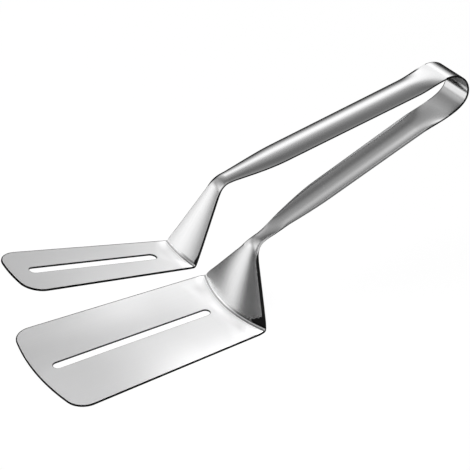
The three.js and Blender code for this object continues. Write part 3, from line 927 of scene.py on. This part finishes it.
def blade_mesh(strip):
    """A flat plate with a hole, as points, normals, grain, skin faces and end faces.

    Each side keeps its sign, its half of the seam, its outline loops and its slot loops."""
    ahead, origin = upright(strip.blade_direction), upright(strip.crease)
    up = upright(turn_left(-strip.blade_direction))
    points, normals, grain, faces = [], [], [], []

    def place(plan, height):
        flat = origin + np.outer(plan[:, 0], ahead) + np.outer(plan[:, 1], [0, 1, 0])
        return flat + height * up

    def tilt(out, lean):
        flat = np.outer(out[:, 0], ahead) + np.outer(out[:, 1], [0, 1, 0])
        return flat * math.cos(lean) + up * math.sin(lean)

    def add(rows, row_normals, shade):
        start = sum(len(p) for p in points)
        flat = rows - origin
        points.append(rows)
        normals.append(row_normals)
        grain.append(np.column_stack([-flat @ ahead, flat[:, 1] / strip.crease_half,
                                      np.broadcast_to(shade, len(rows))]))
        return np.arange(start, start + len(rows))

    side, side_out = blade_side(strip)
    mirror = np.array([1.0, -1.0])
    edge = np.vstack([side, side[:-1][::-1] * mirror])[1:-1]
    edge_out = np.vstack([side_out, side_out[:-1][::-1] * mirror])[1:-1]
    slot, slot_out = slot_loop(strip)
    ring_points, ring_normals, ring_grain = ring_of(strip, -strip.crease_tangent)
    half = len(ring_points) // 2
    seam = add(ring_points, ring_normals, ring_grain[:, 2])
    top, under = (1, seam[:half], [], []), (-1, seam[half:][::-1], [], [])
    for k, (inset, height, lean, share) in enumerate(EDGE_LOOPS):
        outline = edge - edge_out * (inset + SKIN_INSET)
        hole = slot + slot_out * inset
        # the painted dark share fades on edges that face forward, so the front edges are drawn
        # lighter
        edge_share = share * (1 - edge_out[:, 0] ** 2)
        for sign, at_seam, loops, holes in (top, under):
            ids = add(place(outline, sign * height), tilt(edge_out, sign * lean), edge_share)
            loops.append(np.concatenate([[at_seam[half - 1 - k]], ids, [at_seam[k]]]))
            holes.append(add(place(hole, sign * height), tilt(-slot_out, sign * lean), share))
    everything, count = np.vstack(points), len(EDGE_LOOPS)
    for sign, at_seam, loops, holes in (top, under):
        for k in range(count - 1):
            faces += band(loops[k], loops[k + 1], flip=sign > 0)
            faces += band(holes[k], holes[k + 1], closed=True, flip=sign < 0)
        rim = list(loops[-1]) + list(at_seam[count:half - count])
        faces += fill_plate(everything, rim, list(holes[-1]), origin, ahead, sign > 0)
    faces += band(top[2][0], under[2][0])
    faces += band(top[3][0], under[3][0], closed=True, flip=True)
    caps = [(top[1][i], top[1][i + 1], under[1][i + 1], under[1][i]) for i in range(half - 1)]
    return everything, np.vstack(normals), np.vstack(grain), faces, caps


# %% [markdown]
# Each blade also carries the bulge of its crease, because its finish has to know how far a point
# lies behind the curved crease and not only behind the crease's ends.

# %% Blades
for strip, half_name in ((lower_strip, "lower"), (upper_strip, "upper")):
    node = f"{half_name}_blade"
    blade = make_piece(f"{node}_skin", *blade_mesh(strip), f"{half_name}_half", node,
                       "blade_satin", satin_blade)
    bulge = blade.data.attributes.new("bulge", "FLOAT", "POINT")
    bulge.data.foreach_set("value", np.full(len(blade.data.vertices), strip.crease_bulge,
                                            np.float32))

# %% [markdown]
# ## Floor
#
# The tongs stand on a plain pale floor. Most of what the camera sees of it is a white glow that
# fades into the white room, and a small share is matt and keeps the soft shadow. The steel sees
# the glow alone, because a mirror shows a white table as white.

# %% Floor
STAGE_SIZE = 12.0
FLOOR_HEIGHT, CARD_HEIGHT = -0.0004, -0.0002
FLOOR_TONE = 0.9
FLOOR_GLOW = 1.025
SHADOW_SHARE = 0.05


def stage_plane(name, size, height):
    mesh = bpy.data.meshes.new(name)
    h = size / 2
    mesh.from_pydata([(-h, -h, height), (h, -h, height), (h, h, height), (-h, h, height)], [],
                     [(0, 1, 2, 3)])
    made = bpy.data.objects.new(name, mesh)
    bpy.context.scene.collection.objects.link(made)
    return made


floor = stage_plane("pale_floor", STAGE_SIZE, FLOOR_HEIGHT)
floor_paint = bpy.data.materials.new("pale_floor_paint")
board = Board(floor_paint)
shadowed = board.node("ShaderNodeBsdfDiffuse", {},
                      {"Color": (FLOOR_TONE, FLOOR_TONE, FLOOR_TONE, 1)})
mirrored = board.ray("Glossy") + board.ray("Transmission")
lift = (board.ray("Camera") * (1 - SHADOW_SHARE) + mirrored).limited()
mixed = board.node("ShaderNodeMixShader", {},
                   {0: lift, 1: shadowed, 2: board.glow(1, FLOOR_GLOW)})
board.node("ShaderNodeOutputMaterial", {}, {"Surface": mixed})
floor.data.materials.append(floor_paint)
print("floor", STAGE_SIZE, "m wide, shadow share", SHADOW_SHARE)

# %% [markdown]
# ## Dark cards
#
# Polished steel has no colour of its own: its edges are only drawn if something dark stands
# beside it. A photographer lays black cards on the table, out of the picture. Here they are one
# plane just above the floor that only reflections see, clear where there is no card and black
# where there is one, which is simpler than many planes and can feather its edges.

# %% Cards
# left, right, front and back of each card, in metres
FAR = 5.8
CARDS = [
    (-0.02, 0.11, -0.90, FAR),
    (0.21, FAR, -0.90, FAR),
    (0.05, 0.30, 0.15, FAR),
    (0.05, 0.30, -0.90, -0.25),
    (-0.10, -0.02, 0.06, 0.40),
    (-0.35, -0.02, -0.30, -0.06),
]
CARD_FEATHER = 0.06
CARD_TONE = 0.01


def between(board, value, low, high):
    """1 between two places and 0 outside, with a soft change at each."""
    def past(place):
        return ramp(board, value, place - CARD_FEATHER, place + CARD_FEATHER)
    return past(low) - past(high)


cards = stage_plane("dark_cards", STAGE_SIZE, CARD_HEIGHT)
card_paint = bpy.data.materials.new("dark_card_paint")
board = Board(card_paint)
spot = board.node("ShaderNodeTexCoord", {}, {}, "Object")
spot_x, spot_y = part_of(board, spot, "X"), part_of(board, spot, "Y")
covered = 0.0
for card_left, card_right, card_front, card_back in CARDS:
    covered = (between(board, spot_x, card_left, card_right)
               * between(board, spot_y, card_front, card_back)) + covered
clear = board.node("ShaderNodeBsdfTransparent", {}, {})
card = board.node("ShaderNodeMixShader", {},
                  {0: covered.limited(), 1: clear, 2: board.glow(CARD_TONE, 1.0)})
board.node("ShaderNodeOutputMaterial", {}, {"Surface": card})
cards.data.materials.append(card_paint)
cards.visible_camera = cards.visible_diffuse = False
cards.visible_shadow = cards.visible_transmission = False
print(len(CARDS), "dark cards")

# %% [markdown]
# ## Room
#
# Steel is a mirror, so what it shows is the room. A studio for metal is a dark room hung with
# white sheets that let the lamps through softly. Hanging real planes round the object works too,
# but they would throw their own shadows and get in the way of a camera that walks round it. So
# the room is painted on the world: each sheet is a round patch of light that fades from its
# middle outward, given by where it hangs and how wide it is. The first groups draw the bright
# bands that the photograph shows on the necks, the arms and the bow. The last one only keeps the
# metal from going black when it is seen from the other sides.

# %% Sheets
# azimuth, elevation, radius where it fades out (degrees), brightness
SHEETS = [
    (105, 6, 18, 0.60), (120, 6, 18, 0.18), (133, 6, 18.5, 1.00),
    (40, 27, 20, 0.50), (60, 27, 20, 0.45), (80, 25, 21, 0.30), (62, 34, 16, 0.55),
    (120, 24, 22, 0.38), (160, 24, 22, 0.12), (148, 30, 16, 0.35),
    (0, 44, 28, 0.40), (30, 44, 28, 0.26), (60, 44, 28, 0.12), (90, 44, 28, 0.28),
    (150, 44, 28, 0.55),
    (180, 66, 34, 0.12), (0, 88, 30, 0.20), (180, 44, 28, 0.50), (180, 24, 22, 0.15),
    (205, 28, 20, 0.45), (225, 20, 34, 0.50), (255, 20, 34, 0.50), (295, 20, 34, 0.55),
    (335, 20, 34, 0.40), (240, 54, 34, 0.45), (300, 54, 34, 0.22),
]


def towards(azimuth, elevation):
    a, e = math.radians(azimuth), math.radians(elevation)
    return (math.cos(e) * math.cos(a), math.cos(e) * math.sin(a), math.sin(e))


def sheet_light(board, direction, azimuth, elevation, radius, brightness):
    facing = board.node("ShaderNodeVectorMath", {"operation": "DOT_PRODUCT"},
                        {0: direction, 1: towards(azimuth, elevation)}, "Value")
    return ramp(board, facing, math.cos(math.radians(radius)), 1.0) * brightness


# %% [markdown]
# The camera sees plain white instead of the sheets. The room gives no diffuse light, so the satin
# blades are lit by lamps alone, which keeps the two kinds of steel apart.

# %% World
world = bpy.data.worlds.new("studio")
bpy.context.scene.world = world
board = Board(world)
direction = board.node("ShaderNodeTexCoord", {}, {}, "Generated")
room = 0.0
for sheet in SHEETS:
    room = sheet_light(board, direction, *sheet) + room
camera_sees = board.ray("Camera")
background = board.node("ShaderNodeBackground", {}, {
    "Color": (1.0, 1.0, 1.0, 1.0), "Strength": room * (1.0 - camera_sees) + camera_sees})
board.node("ShaderNodeOutputWorld", {}, {"Surface": background})
world.cycles_visibility.diffuse = False
print("room with", len(SHEETS), "soft sheets")

# %% [markdown]
# ## Camera
#
# The photograph was taken from the blades' side, a third of the way up the sky, with a long lens.
# The camera's place and turn were solved from points of the photograph.

# %% Camera
PHOTO_SIZE = 470
FOCAL_PIXELS = 1700.0
SENSOR = 36.0
CAMERA_PLACE = Vector((-0.42235, -0.68490, 0.56783))
CAMERA_RIGHT = Vector((0.85112, -0.52497, -0.00044))
CAMERA_AHEAD = Vector((0.44052, 0.71466, -0.54332))
NEAREST, FARTHEST = 0.05, 30.0
camera_data = bpy.data.cameras.new("photo_camera")
camera_data.sensor_width = SENSOR
camera_data.lens = FOCAL_PIXELS / PHOTO_SIZE * SENSOR
camera_data.clip_start, camera_data.clip_end = NEAREST, FARTHEST
camera = bpy.data.objects.new("photo_camera", camera_data)
bpy.context.scene.collection.objects.link(camera)
camera_up = CAMERA_RIGHT.cross(CAMERA_AHEAD)
turned = Matrix((CAMERA_RIGHT, camera_up, -CAMERA_AHEAD)).transposed().to_4x4()
camera.matrix_world = Matrix.Translation(CAMERA_PLACE + Vector((shift_x * MM, 0, 0))) @ turned
bpy.context.scene.camera = camera
print("lens", round(camera_data.lens, 1), "mm")

# %% [markdown]
# ## Lamps
#
# Two large boxes light the satin blades evenly, and five small ones lift the places beside the
# creases that the photograph shows brighter. Neither the metal nor the camera sees a lamp, so
# they leave the reflections on the necks and arms as they are.

# %% Lamps
# place and aim in metres, side of the square in metres, power in watts
LAMPS = [
    ("ceiling_box", (0.0, 0.0, 2.5), (0.0, 0.0, 0.0), 2.0, 12.0),
    ("left_box", (-1.0, 0.6, 1.6), (-0.02, 0.0, 0.0), 1.0, 24.0),
    ("near_spot", (-0.05, -0.08, 0.05), (-0.02, 0.0, 0.0), 0.03, 0.057),
    ("rear_spot", (-0.05, 0.07, 0.05), (-0.02, 0.01, 0.0), 0.03, 0.034),
    ("upper_spot", (-0.06, -0.05, 0.14), (-0.045, 0.0, 0.09), 0.03, 0.061),
    ("low_spot", (-0.06, -0.05, 0.04), (-0.02, 0.0, 0.0), 0.03, 0.007),
    ("side_spot", (-0.06, -0.13, 0.10), (-0.03, -0.02, 0.0), 0.08, 0.05),
]
for name, place, aim, size, power in LAMPS:
    lamp_data = bpy.data.lights.new(name, "AREA")
    lamp_data.shape, lamp_data.size, lamp_data.energy = "SQUARE", size, power
    lamp = bpy.data.objects.new(name, lamp_data)
    lamp.location = place
    lamp.rotation_euler = (Vector(aim) - Vector(place)).to_track_quat("-Z", "Y").to_euler()
    lamp.visible_glossy = lamp.visible_camera = False
    bpy.context.scene.collection.objects.link(lamp)
print("lamps", [name for name, *_ in LAMPS])

# %% [markdown]
# ## View
#
# The Standard view keeps white paper white.

# %% Finish
bpy.context.scene.view_settings.view_transform = "Standard"
